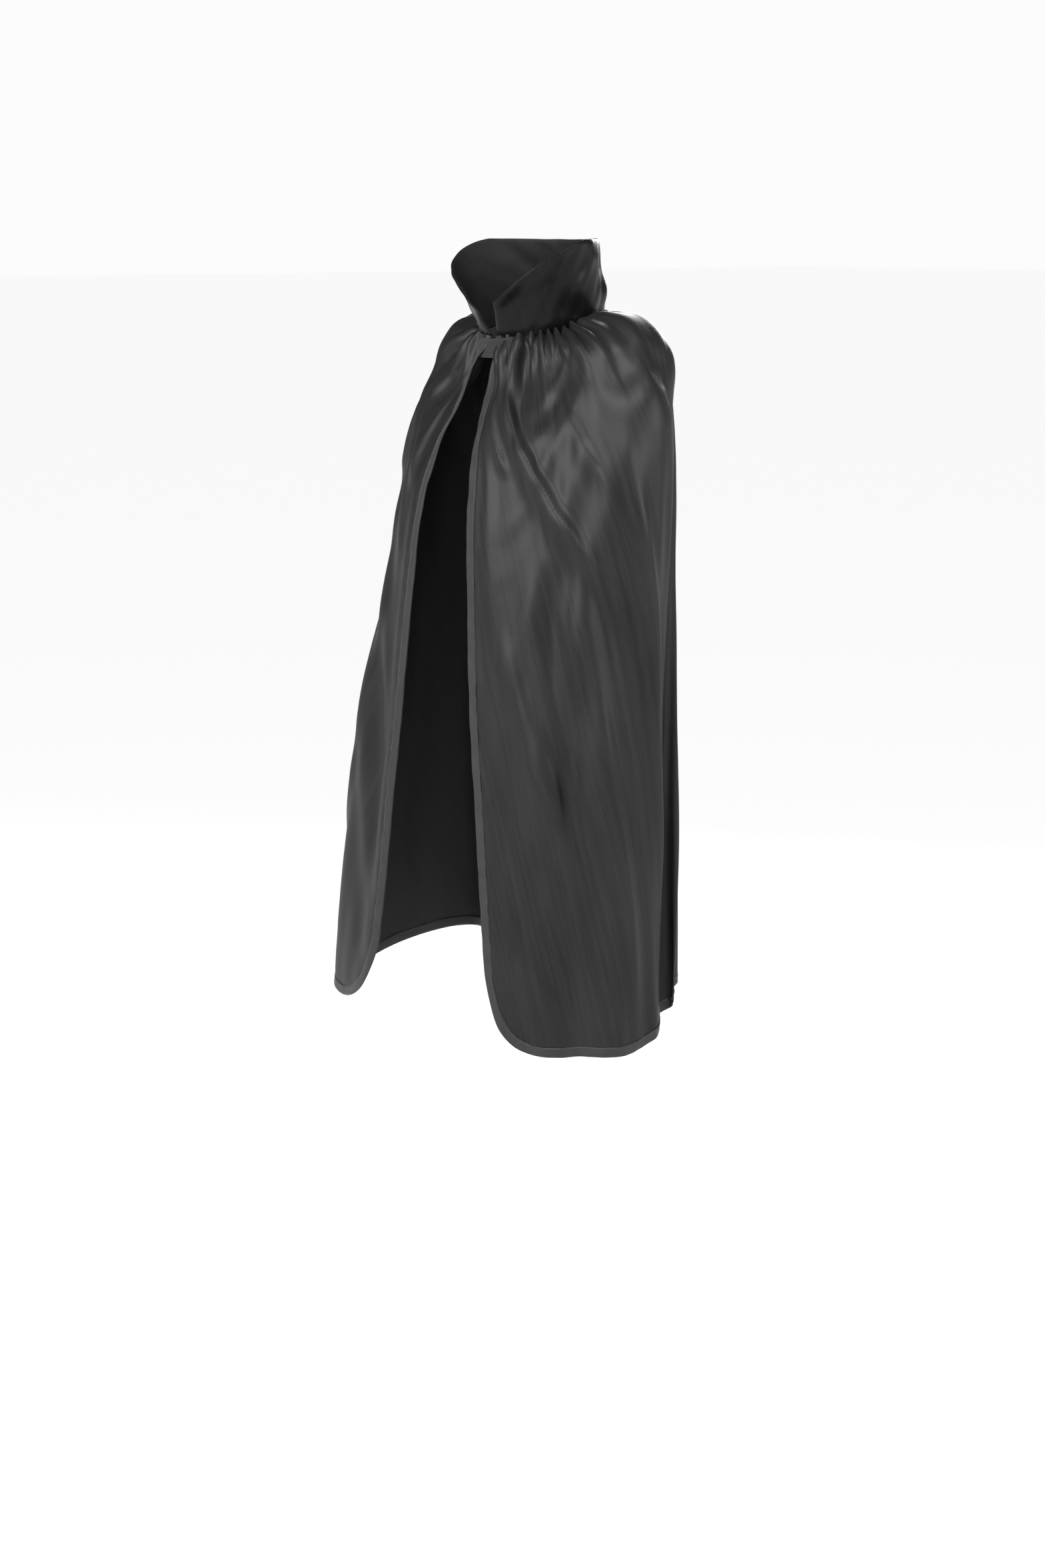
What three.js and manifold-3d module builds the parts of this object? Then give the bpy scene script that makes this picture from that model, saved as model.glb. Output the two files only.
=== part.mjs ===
// A gathered satin cape with a stiff stand-up collar and a hook-and-loop tab at the neck.
// Millimetres, +Z up. The wearer faces -Y, the wearer's left is +X, and the origin is the
// middle of the ring where the collar meets the cape. The cape is shown as it hangs on a wearer.
import * as THREE from 'three';
import { mergeVertices } from 'three/addons/utils/BufferGeometryUtils.js';
import Module from 'manifold-3d';

// Neck seam
const NECK_HALF_WIDTH = 58;
const NECK_HALF_DEPTH = 62;
const NECK_TILT = 11;               // the seam is this much higher behind and lower in front
const TILT_FADES_BY = 150;          // drop at which the cape has lost that tilt

// Cape
const CAPE_DROP = 700;              // neck seam to hem
const BACK_RISE = 60;               // the hem is this much shorter at the middle of the back
const CORNER_RADIUS = 70;           // rounded lower front corners
const HEADING_DROP = 38;            // gathered part that stays with the neck when a front swings
const SIDE_ANGLE = 85;              // degrees from the middle of the back to the side folds
const RIGHT_FRONT_FULLNESS = 1;     // how squarely the wearer's right front hangs at the hem

// Hanging shape: reach of the cape from the neck's middle at some drops below the seam
const SECTIONS = [
  { drop: 0, left: NECK_HALF_WIDTH, right: NECK_HALF_WIDTH, front: NECK_HALF_DEPTH, back: NECK_HALF_DEPTH },
  { drop: 19, left: 118, right: 104, front: 67, back: 90 },
  { drop: 38, left: 142, right: 130, front: 73, back: 99 },
  { drop: 64, left: 158, right: 150, front: 85, back: 105 },
  { drop: 113, left: 168, right: 165, front: 102, back: 109 },
  { drop: 190, left: 173, right: 182, front: 114, back: 111 },
  { drop: 350, left: 169, right: 212, front: 121, back: 107 },
  { drop: CAPE_DROP, left: 168, right: 262, front: 124, back: 107 },
];
// Front edges: degrees from the middle of the back, on the wearer's left and right
const FRONT_EDGES = [
  { drop: 0, left: 176, right: 176 },
  { drop: 38, left: 175, right: 172 },
  { drop: 157, left: 170, right: 154 },
  { drop: 350, left: 165, right: 147 },
  { drop: CAPE_DROP, left: 152, right: 133 },
];

// Collar
const COLLAR_HEIGHT = 80;           // at the sides; the rim stays level behind
const COLLAR_FRONT_EDGE = 34;       // length of the short front edges
const COLLAR_FLARE = 0.25;          // growth of the collar's half-width for each mm of height
const COLLAR_LEAN = 0.4;            // forward lean for each mm of height
const COLLAR_OPENING = 176;         // degrees from the middle of the back at the seam
const COLLAR_OPENING_TOP = 164;     // and at the top of the front edge
const COLLAR_SHOULDER = 78;         // degrees at which the rim starts to come down to the front
const COLLAR_CLOTH = 0.8;
const INTERFACING = 1;
const INTERFACING_INSET = 4;        // the interfacing stops this far inside the collar's edges

// Cloth, tapes and clearances
const CLOTH = 2;                    // body of the cape, its small puckers included
const TAPE = 0.8;
const BINDING_WIDTH = 9;
const BINDING_ROOM = 0.8;           // room inside the folded tape, for the puckered edge
const NECK_TAPE_HEIGHT = 12;
const TOUCH = 0.3;                  // clearance between pieces that are sewn or lie together
const FOLD_CLEARANCE = 3;           // clearance along the folds where a front swings

// Closure
const TAB_WIDTH = 19;
const TAB_THICKNESS = 1.5;
const TAB_TOP = 3;                  // drop of the tab's upper edge
const TAB_SEWN_ANGLE = 155;         // sewn end, on the wearer's left
const TAB_FREE_ANGLE = 197;         // rounded free end, on the wearer's right
const HOOK_AND_LOOP = 1;
const PATCH_INSET = 2;
const PATCH_LENGTH_ANGLE = 13;

// Care label
const LABEL_WIDTH = 32;
const LABEL_HEIGHT = 24;
const LABEL_THICKNESS = 0.4;
const LABEL_BEHIND_TAPE = 1;

const wasm = await Module();
wasm.setup();

const radians = THREE.MathUtils.degToRad;
const mix = THREE.MathUtils.lerp;
const ease = (low, high, x) => THREE.MathUtils.smoothstep(x, low, high);

// A smooth value through a list of stations, by their drop.
function along(stations, key, drop) {
  const last = stations.length - 1;
  let i = 0;
  while (i < last - 1 && drop > stations[i + 1].drop) i += 1;
  const slope = (j) => {
    const a = stations[Math.max(j - 1, 0)];
    const b = stations[Math.min(j + 1, last)];
    return (b[key] - a[key]) / (b.drop - a.drop);
  };
  const low = stations[i];
  const high = stations[i + 1];
  const span = high.drop - low.drop;
  const t = (drop - low.drop) / span;
  const rise = high[key] - low[key];
  const startPull = slope(i) * span - rise;
  const endPull = rise - slope(i + 1) * span;
  return mix(low[key], high[key], t) + t * (1 - t) * (startPull * (1 - t) + endPull * t);
}

// Distance from the middle line to a rounded section, in the direction of an angle.
function reach(sine, cosine, halfWidth, halfDepth, power) {
  const sum = (Math.abs(sine) / halfWidth) ** power + (Math.abs(cosine) / halfDepth) ** power;
  return sum ** (-1 / power);
}

// A point of the cape. Angles run from the middle of the back, over the wearer's left, to 360.
function capeSurface(angle, drop) {
  const sine = Math.sin(radians(angle));
  const cosine = Math.cos(radians(angle));
  const halfWidth = along(SECTIONS, sine >= 0 ? 'left' : 'right', drop);
  const halfDepth = along(SECTIONS, cosine >= 0 ? 'back' : 'front', drop);
  const full = sine < 0 && cosine < 0 ? RIGHT_FRONT_FULLNESS * (drop / CAPE_DROP) : 0;
  const r = reach(sine, cosine, halfWidth, halfDepth, 2 + full);
  const tilt = NECK_TILT * cosine * (1 - ease(0, TILT_FADES_BY, drop));
  return new THREE.Vector3(r * sine, r * cosine, tilt - drop);
}

// A point of the collar, at a length up from the seam.
function collarSurface(angle, up) {
  const sine = Math.sin(radians(angle));
  const cosine = Math.cos(radians(angle));
  const halfWidth = NECK_HALF_WIDTH + COLLAR_FLARE * up;
  const halfDepth = NECK_HALF_DEPTH + 0.5 * COLLAR_FLARE * up;
  const r = reach(sine, cosine, halfWidth, halfDepth, 2);
  return new THREE.Vector3(r * sine, r * cosine - COLLAR_LEAN * up, NECK_TILT * cosine + up);
}

// Moves a surface point out along its own normal.
function offsetPoint(surface, a, b, distance) {
  const step = 0.5;
  const across = surface(a + step, b).sub(surface(a - step, b));
  const upward = surface(a, b - step).sub(surface(a, b + step));
  const normal = across.cross(upward).normalize();
  return surface(a, b).addScaledVector(normal, distance);
}
const capePoint = (angle, drop, out) => offsetPoint(capeSurface, angle, drop, -out);
const collarPoint = (angle, up, out) => offsetPoint(collarSurface, angle, up, out);

// A closed sheet: a box with a fine grid, whose corners (u, v, w from 0 to 1) are placed by a
// function. The place keeps its hand: u, v and w turn like x, y and z.
function sheet(columns, rows, place) {
  const box = new THREE.BoxGeometry(1, 1, 1, columns, rows, 1);
  box.deleteAttribute('normal');
  box.deleteAttribute('uv');
  return placed(box.translate(0.5, 0.5, 0.5), place);
}

function placed(geometry, place) {
  const bent = mergeVertices(geometry, 1e-5);
  const corner = bent.attributes.position;
  for (let i = 0; i < corner.count; i += 1) {
    const p = place(corner.getX(i), corner.getY(i), corner.getZ(i));
    corner.setXYZ(i, p.x, p.y, p.z);
  }
  return outward(bent);
}

// Faces turned so that they point out of the solid.
function outward(geometry) {
  const p = geometry.attributes.position;
  const corners = geometry.index.array;
  const at = (i) => new THREE.Vector3().fromBufferAttribute(p, corners[i]);
  let volume = 0;
  for (let i = 0; i < corners.length; i += 3) volume += at(i).dot(at(i + 1).cross(at(i + 2)));
  if (volume < 0) {
    for (let i = 0; i < corners.length; i += 3) {
      [corners[i + 1], corners[i + 2]] = [corners[i + 2], corners[i + 1]];
    }
  }
  return geometry;
}

// A section drawn in x and y, carried through a number of steps and placed by a function.
function strip(section, steps, place) {
  const drawn = new THREE.ExtrudeGeometry(section, { depth: 1, steps, bevelEnabled: false });
  drawn.deleteAttribute('normal');
  drawn.deleteAttribute('uv');
  return placed(drawn, place);
}

function solid(geometry) {
  const mesh = new wasm.Mesh({
    numProp: 3,
    vertProperties: geometry.attributes.position.array,
    triVerts: new Uint32Array(geometry.index.array),
  });
  return new wasm.Manifold(mesh);
}

function surfaceOf(manifold) {
  const mesh = manifold.getMesh();
  const geometry = new THREE.BufferGeometry();
  geometry.setAttribute('position', new THREE.BufferAttribute(mesh.vertProperties, 3));
  return geometry.setIndex(new THREE.BufferAttribute(mesh.triVerts, 1));
}

// Front edge of the cape at a drop, as an angle on the wearer's left (1) or right (-1).
function edgeAngle(side, drop) {
  const fromBack = along(FRONT_EDGES, side > 0 ? 'left' : 'right', drop);
  return side > 0 ? fromBack : 360 - fromBack;
}

// Length round the hem from the front edge to an angle, measured on the hem's own section.
function hemLength(side, angle) {
  const steps = 24;
  const edge = edgeAngle(side, CAPE_DROP);
  let length = 0;
  for (let i = 0; i < steps; i += 1) {
    const a = capeSurface(mix(edge, angle, i / steps), CAPE_DROP);
    const b = capeSurface(mix(edge, angle, (i + 1) / steps), CAPE_DROP);
    length += a.distanceTo(b);
  }
  return length;
}

// Share of the way from the front edge to the side fold at which the rounded corner ends.
function cornerShare(side) {
  const sideAngle = side > 0 ? SIDE_ANGLE : 360 - SIDE_ANGLE;
  return CORNER_RADIUS / hemLength(side, sideAngle);
}

// Drop of the hem at a share of the way round a front, from its edge (0) to the side fold (1).
function frontHemDrop(side, share) {
  const inside = Math.max(0, 1 - share / cornerShare(side));
  return CAPE_DROP - CORNER_RADIUS * (1 - Math.sqrt(Math.max(0, 1 - inside * inside)));
}

// Rows and columns of a front; its binding takes the same ones, so that their facets agree.
const FRONT_ROWS = 14;
const CORNER_COLUMNS = 7;
const SIDE_COLUMNS = 8;
const BACK_ROWS = 15;
const BACK_COLUMNS = 18;
function frontShare(side, u) {
  const columns = CORNER_COLUMNS + SIDE_COLUMNS;
  const corner = cornerShare(side);
  const column = u * columns;
  if (column <= CORNER_COLUMNS) {
    return corner * (1 - Math.cos((Math.PI / 2) * (column / CORNER_COLUMNS)));
  }
  return mix(corner, 1, (column - CORNER_COLUMNS) / SIDE_COLUMNS);
}

function frontAngle(side, share, drop, margin) {
  const edge = edgeAngle(side, drop);
  const fold = side > 0 ? SIDE_ANGLE : 360 - SIDE_ANGLE;
  const perDegree = capeSurface(fold + 1, drop).distanceTo(capeSurface(fold, drop));
  return mix(edge, fold + (side * margin) / perDegree, share);
}

// Drop of the back's hem, which is cut a little shorter in the middle of the back.
function backHemDrop(angle) {
  return CAPE_DROP - BACK_RISE * Math.cos(radians((90 * angle) / SIDE_ANGLE)) ** 2;
}

// Rows of the cape are closer near the shoulders.
const rowDrop = (top, bottom, v) => mix(top, bottom, v ** 1.5);

function frontPanel(side) {
  const place = (u, v, w) => {
    const share = frontShare(side, u);
    const drop = rowDrop(HEADING_DROP + FOLD_CLEARANCE, frontHemDrop(side, share), v);
    return capePoint(frontAngle(side, share, drop, FOLD_CLEARANCE), drop, -CLOTH * w);
  };
  return sheet(CORNER_COLUMNS + SIDE_COLUMNS, FRONT_ROWS, place);
}

// The back of the cape, with the gathered heading that runs round the whole neck.
function capeBack() {
  const top = TOUCH;
  const heading = sheet(48, 4, (u, v, w) => {
    const drop = mix(top, HEADING_DROP, v);
    const angle = mix(edgeAngle(-1, drop) - 360, edgeAngle(1, drop), u);
    return capePoint(angle, drop, -CLOTH * w);
  });
  const back = sheet(BACK_COLUMNS, BACK_ROWS, (u, v, w) => {
    const angle = mix(-SIDE_ANGLE, SIDE_ANGLE, u);
    const drop = rowDrop(HEADING_DROP - CLOTH, backHemDrop(angle), v);
    return capePoint(angle, drop, -CLOTH * w);
  });
  return surfaceOf(solid(heading).add(solid(back)));
}

// Folded tape: a U that closes over the cloth's edge. x runs in from the edge, y through it.
function bindingSection() {
  const inner = BINDING_ROOM;
  const outer = BINDING_ROOM + TAPE;
  const u = new THREE.Shape();
  u.moveTo(-outer, outer);
  u.lineTo(-outer, -CLOTH - outer);
  u.lineTo(BINDING_WIDTH, -CLOTH - outer);
  u.lineTo(BINDING_WIDTH, -CLOTH - inner);
  u.lineTo(-inner, -CLOTH - inner);
  u.lineTo(-inner, inner);
  u.lineTo(BINDING_WIDTH, inner);
  u.lineTo(BINDING_WIDTH, outer);
  return u;
}

// Tape along an edge route of cape points, given as route(t) -> [angle, drop].
function binding(route, steps) {
  const at = (t) => new THREE.Vector3().copy(capeSurface(...route(t)));
  return strip(bindingSection(), steps, (x, y, t) => {
    const near = 1 / (4 * steps);
    const before = at(Math.max(0, t - near));
    const after = at(Math.min(1, t + near));
    const forward = after.sub(before).normalize();
    const [angle, drop] = route(t);
    const out = capePoint(angle, drop, 1).sub(capePoint(angle, drop, 0));
    const inward = new THREE.Vector3().crossVectors(out, forward).normalize();
    return at(t).addScaledVector(inward, x).addScaledVector(out, y);
  });
}

// Down the front edge, round the corner and along the hem to the side fold.
function frontBinding(side) {
  const steps = FRONT_ROWS + CORNER_COLUMNS + SIDE_COLUMNS;
  const corner = cornerShare(side);
  const top = HEADING_DROP + FOLD_CLEARANCE;
  const route = (t) => {
    const step = t * steps;
    if (step <= FRONT_ROWS) {
      const drop = rowDrop(top, CAPE_DROP - CORNER_RADIUS, step / FRONT_ROWS);
      return [edgeAngle(side, drop), drop];
    }
    if (step <= FRONT_ROWS + CORNER_COLUMNS) {
      const turn = (Math.PI / 2) * ((step - FRONT_ROWS) / CORNER_COLUMNS);
      const share = corner * (1 - Math.cos(turn));
      const drop = CAPE_DROP - CORNER_RADIUS * (1 - Math.sin(turn));
      return [frontAngle(side, share, drop, FOLD_CLEARANCE), drop];
    }
    const share = mix(corner, 1, (step - FRONT_ROWS - CORNER_COLUMNS) / SIDE_COLUMNS);
    return [frontAngle(side, share, CAPE_DROP, FOLD_CLEARANCE), CAPE_DROP];
  };
  return side > 0 ? binding(route, steps) : binding((t) => route(1 - t), steps);
}

function backBinding() {
  const route = (t) => {
    const angle = mix(SIDE_ANGLE, -SIDE_ANGLE, t);
    return [angle, backHemDrop(angle)];
  };
  return binding(route, BACK_COLUMNS);
}

// Height of the collar's rim at an angle from the middle of the back.
function rimHeight(fromBack) {
  const down = THREE.MathUtils.clamp((fromBack - COLLAR_SHOULDER) / (COLLAR_OPENING - COLLAR_SHOULDER), 0, 1);
  const rounded = down * down * (1.6 - 0.6 * down);
  const level = COLLAR_HEIGHT - NECK_TILT * Math.cos(radians(fromBack)) * (1 - down);
  return mix(level, COLLAR_FRONT_EDGE, mix(down, rounded, 0.5));
}

// One layer of the collar, between two depths below its outer face.
function collarLayer(outerDepth, innerDepth, inset) {
  return sheet(44, 6, (u, v, w) => {
    const across = mix(-1, 1, u);
    const opening = mix(COLLAR_OPENING, COLLAR_OPENING_TOP, v);
    const insetAngle = (inset / NECK_HALF_WIDTH) * (180 / Math.PI);
    const angle = across * (opening - insetAngle);
    const rim = rimHeight(Math.abs(across) * COLLAR_OPENING) - inset;
    const up = mix(TOUCH + inset, rim, v);
    return collarPoint(angle, up, -mix(outerDepth, innerDepth, w));
  });
}

// Tape inside the neck, over the raw gathered edge.
function neckTape() {
  const depth = Math.max(2 * COLLAR_CLOTH + INTERFACING + 2 * TOUCH, CLOTH + TOUCH + TAPE);
  return sheet(44, 2, (u, v, w) => {
    const angle = mix(-COLLAR_OPENING, COLLAR_OPENING, u);
    const base = collarPoint(angle, 0, -depth + TAPE * w);
    return base.add(new THREE.Vector3(0, 0, -TOUCH - NECK_TAPE_HEIGHT * v));
  });
}

// A band that follows the front of the neck, out from the cape's surface by a distance.
function frontBand(fromAngle, toAngle, top, height, out, thickness) {
  return sheet(14, 4, (u, v, w) => {
    return capePoint(mix(fromAngle, toAngle, u), mix(top, top + height, v), out + thickness * w);
  });
}

const LOOP_OUT = TOUCH;
const HOOK_OUT = LOOP_OUT + HOOK_AND_LOOP + TOUCH;
const TAB_OUT = HOOK_OUT + HOOK_AND_LOOP + TOUCH;

// Outline that rounds the free end of the tab, as a block from front to back.
function roundedEnd() {
  const free = capePoint(TAB_FREE_ANGLE, TAB_TOP, TAB_OUT).x;
  const radius = TAB_WIDTH / 2;
  const middle = -NECK_TILT - TAB_TOP - radius;
  const spare = 2 * TAB_WIDTH;
  const outline = new THREE.Shape();
  outline.absarc(free + radius, middle, radius, Math.PI / 2, (3 * Math.PI) / 2, false);
  outline.lineTo(spare, middle - spare);
  outline.lineTo(spare, middle + spare);
  const block = new THREE.ExtrudeGeometry(outline, { depth: spare, bevelEnabled: false, curveSegments: 10 });
  block.deleteAttribute('normal');
  block.deleteAttribute('uv');
  block.rotateX(Math.PI / 2);
  block.translate(0, -NECK_HALF_DEPTH + spare / 2, 0);
  return solid(outward(mergeVertices(block, 1e-5)));
}

function closureTab() {
  const band = frontBand(TAB_SEWN_ANGLE, TAB_FREE_ANGLE, TAB_TOP, TAB_WIDTH, TAB_OUT, TAB_THICKNESS);
  return surfaceOf(solid(band).intersect(roundedEnd()));
}

function hookAndLoopPatch(out) {
  const freeEnd = TAB_FREE_ANGLE - 2 * PATCH_INSET;
  const height = TAB_WIDTH - 2 * PATCH_INSET - PATCH_INSET;
  const top = TAB_TOP + PATCH_INSET + PATCH_INSET / 2;
  return frontBand(freeEnd - PATCH_LENGTH_ANGLE + PATCH_INSET, freeEnd, top, height, out, HOOK_AND_LOOP);
}

function careLabel() {
  const behind = NECK_HALF_DEPTH - 2 * COLLAR_CLOTH - INTERFACING - 2 * TOUCH - TAPE - LABEL_BEHIND_TAPE;
  return sheet(6, 6, (u, v, w) => new THREE.Vector3(
    LABEL_WIDTH * (u - 0.5),
    behind - 2 - LABEL_THICKNESS * w,
    NECK_TILT - TOUCH - LABEL_HEIGHT * v,
  ));
}

const SATIN = { color: 0x26272b, roughness: 0.38, metalness: 0 };
const SATIN_BACK = { color: 0x1c1a1b, roughness: 0.75, metalness: 0 };
const TAPE_CLOTH = { color: 0x303033, roughness: 0.6, metalness: 0 };
const FUZZ = { color: 0x2b2b2d, roughness: 0.95, metalness: 0 };
const STIFFENER = { color: 0x3a3a3a, roughness: 0.9, metalness: 0 };
const LABEL_CLOTH = { color: 0xd8d8d4, roughness: 0.8, metalness: 0 };

const cape = new THREE.Group();
function add(name, geometry, finish) {
  const mesh = new THREE.Mesh(geometry, new THREE.MeshStandardMaterial(finish));
  mesh.name = name;
  cape.add(mesh);
}

const stiffenerStart = COLLAR_CLOTH + TOUCH;
const liningStart = stiffenerStart + INTERFACING + TOUCH;
add('collar_outer', collarLayer(0, COLLAR_CLOTH, 0), SATIN);
add('collar_interfacing', collarLayer(stiffenerStart, stiffenerStart + INTERFACING, INTERFACING_INSET), STIFFENER);
add('collar_lining', collarLayer(liningStart, liningStart + COLLAR_CLOTH, 0), SATIN_BACK);
add('neck_tape', neckTape(), TAPE_CLOTH);
add('care_label', careLabel(), LABEL_CLOTH);
add('cape_back', capeBack(), SATIN);
add('back_hem_binding', backBinding(), TAPE_CLOTH);
add('loop_patch', hookAndLoopPatch(LOOP_OUT), FUZZ);
for (const [side, name] of [[1, 'left'], [-1, 'right']]) {
  add(name + '_front_panel', frontPanel(side), SATIN);
  add(name + '_front_binding', frontBinding(side), TAPE_CLOTH);
}
add('closure_tab', closureTab(), FUZZ);
add('hook_patch', hookAndLoopPatch(HOOK_OUT), FUZZ);

export default cape;
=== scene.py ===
"""A gathered satin cape with a stiff stand-up collar, as it hangs on a wearer."""
import math

import bmesh
import bpy
import numpy as np
from mathutils import Matrix, Vector, noise
from mathutils.bvhtree import BVHTree


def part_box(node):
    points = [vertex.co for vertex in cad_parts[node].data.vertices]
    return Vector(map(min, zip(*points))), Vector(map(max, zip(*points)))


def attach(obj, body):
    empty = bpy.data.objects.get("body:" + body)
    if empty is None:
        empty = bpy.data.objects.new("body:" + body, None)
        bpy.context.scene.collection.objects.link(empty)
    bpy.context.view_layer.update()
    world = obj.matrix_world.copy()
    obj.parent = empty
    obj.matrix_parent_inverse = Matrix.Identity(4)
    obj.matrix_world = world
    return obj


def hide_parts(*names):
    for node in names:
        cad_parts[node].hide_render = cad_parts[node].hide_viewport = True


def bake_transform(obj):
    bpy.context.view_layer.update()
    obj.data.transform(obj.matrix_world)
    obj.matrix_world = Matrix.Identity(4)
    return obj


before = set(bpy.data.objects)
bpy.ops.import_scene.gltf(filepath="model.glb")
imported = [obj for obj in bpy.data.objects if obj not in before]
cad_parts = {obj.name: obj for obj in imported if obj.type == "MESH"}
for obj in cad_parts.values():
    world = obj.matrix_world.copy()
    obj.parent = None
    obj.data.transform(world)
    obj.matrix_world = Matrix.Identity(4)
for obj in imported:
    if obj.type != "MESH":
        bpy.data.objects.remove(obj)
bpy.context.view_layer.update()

# Metres. The wearer faces -Y, the wearer's left is +X, the middle of the neck seam is the origin.
NECK_WIDTH = 0.058          # half-width of the neck seam
NECK_DEPTH = 0.062
NECK_TILT = 0.011
TILT_FADES_BY = 0.15
DROP = 0.7                  # neck seam to hem
CORNER = 0.07               # radius of the lower front corners
CUT_LENGTH = 0.755          # the cape as cut, before it is gathered and hung
SHOULDER_EXTRA = 0.042      # the front and back are cut this much shorter than the sides
CUT_NECK = 0.82
CUT_HEM = 1.2
BACK_RISE = 0.06            # and the hem rises this much more between the fronts
GATHERS = 40
CLOTH = 0.0004
LABEL_CLOTH = 0.0003

# Reach of the hanging cape from the neck's middle, at some drops below the seam
SECTIONS = {
    "drop": (0, 0.019, 0.038, 0.064, 0.113, 0.19, 0.35, DROP),
    "left": (NECK_WIDTH, 0.118, 0.142, 0.159, 0.171, 0.176, 0.168, 0.16),
    "right": (NECK_WIDTH, 0.104, 0.13, 0.15, 0.166, 0.182, 0.212, 0.262),
    "front": (NECK_DEPTH, 0.067, 0.073, 0.085, 0.102, 0.114, 0.119, 0.12),
    "back": (NECK_DEPTH, 0.09, 0.099, 0.105, 0.109, 0.111, 0.107, 0.104),
}
# Front edges, in degrees from the middle of the back
EDGES = {
    "drop": (0, 0.038, 0.157, 0.35, DROP),
    "left": (176, 175, 170, 165, 153),
    "right": (176, 172, 154, 146, 129),
}

COLLAR_HEIGHT = 0.08
COLLAR_FRONT = 0.034        # length of the short front edges
COLLAR_FLARE = 0.25
COLLAR_LEAN = 0.4
COLLAR_OPENING = 176
COLLAR_OPENING_TOP = 164
COLLAR_SHOULDER = 78
COLLAR_IN = 0.0016          # the collar's middle, inside the neck seam
COLLAR_CLOTH = 0.0007
STIFFENER_THICKNESS = 0.0006
BAND_PER_DEGREE = 0.00105   # length round the neck
SEED = Vector((3.1, 7.7, 1.3))


# ---------------------------------------------------------------- finishes

class Value:
    """A shader socket that takes part in sums, so that shader maths reads as it is written."""

    def __init__(self, finish, socket):
        self.finish, self.socket = finish, socket

    def sum(self, operation, *others):
        return self.finish.node("ShaderNodeMath", {"operation": operation}, *others)

    def __add__(self, other):
        return self.sum("ADD", self, other)

    def __sub__(self, other):
        return self.sum("SUBTRACT", self, other)

    def __rsub__(self, other):
        return self.sum("SUBTRACT", other, self)

    def __mul__(self, other):
        return self.sum("MULTIPLY", self, other)

    def clipped(self, low, high):
        settings = {"clamp": True}
        inputs = {"Value": self, "From Min": low, "From Max": high, "To Min": 0.0, "To Max": 1.0}
        return self.finish.node("ShaderNodeMapRange", settings, **inputs)

    __radd__ = __add__
    __rmul__ = __mul__


MIX_FACTOR, MIX_FIRST, MIX_SECOND = 0, 6, 7     # a colour mixer's own sockets
MIX_COLOUR = 2
OBJECT_PLACE = 3                                # and a coordinate node's


class Finish:
    """A material built from a Principled shader and the nodes that feed it."""

    def __init__(self, name, **fixed):
        self.material = bpy.data.materials.new(name)
        self.material.use_nodes = True
        self.tree = self.material.node_tree
        self.shader = self.tree.nodes["Principled BSDF"]
        for socket, value in fixed.items():
            self.shader.inputs[socket.replace("_", " ")].default_value = value

    def node(self, kind, settings, *values, output=0, places=None, **named):
        made = self.tree.nodes.new(kind)
        for key, value in settings.items():
            setattr(made, key, value)
        for key, value in [*enumerate(values), *named.items(), *(places or {}).items()]:
            self.put(made.inputs[key], value)
        return Value(self, made.outputs[output])

    def put(self, socket, value):
        if isinstance(value, Value):
            self.tree.links.new(value.socket, socket)
        else:
            socket.default_value = value

    def cut(self):
        """Place on the flat cut, in metres."""
        return self.node("ShaderNodeUVMap", {"uv_map": "cut"})

    def place(self):
        """Place on the piece itself, in metres."""
        return self.node("ShaderNodeTexCoord", {}, output=OBJECT_PLACE)

    def stretched(self, place, x, y, z=1.0):
        return self.node("ShaderNodeVectorMath", {"operation": "MULTIPLY"}, place, (x, y, z))

    def cloud(self, place, scale, detail=3.0, rough_part=0.5):
        inputs = {"Vector": place, "Scale": scale, "Detail": detail, "Roughness": rough_part}
        return self.node("ShaderNodeTexNoise", {}, **inputs)

    def waves(self, place, scale, direction):
        settings = {"wave_type": "BANDS", "bands_direction": direction, "wave_profile": "SIN"}
        return self.node("ShaderNodeTexWave", settings, Vector=place, Scale=scale)

    def blend(self, mask, low, high):
        colours = {MIX_FACTOR: mask, MIX_FIRST: low, MIX_SECOND: high}
        return self.node("ShaderNodeMix", {"data_type": "RGBA"}, output=MIX_COLOUR, places=colours)

    def bump(self, height, distance, strength=1.0, under=None):
        inputs = {"Height": height, "Distance": distance, "Strength": strength}
        if under is not None:
            inputs["Normal"] = under
        return self.node("ShaderNodeBump", {}, **inputs)

    def feeds(self, **sockets):
        for socket, value in sockets.items():
            self.put(self.shader.inputs[socket.replace("_", " ")], value)
        return self.material


def grey(level, red=0.0, blue=0.0):
    return (level * (1 + red), level, level * (1 + blue), 1)


THREAD_PITCH = 0.00028      # from one thread of the satin to the next


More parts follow.
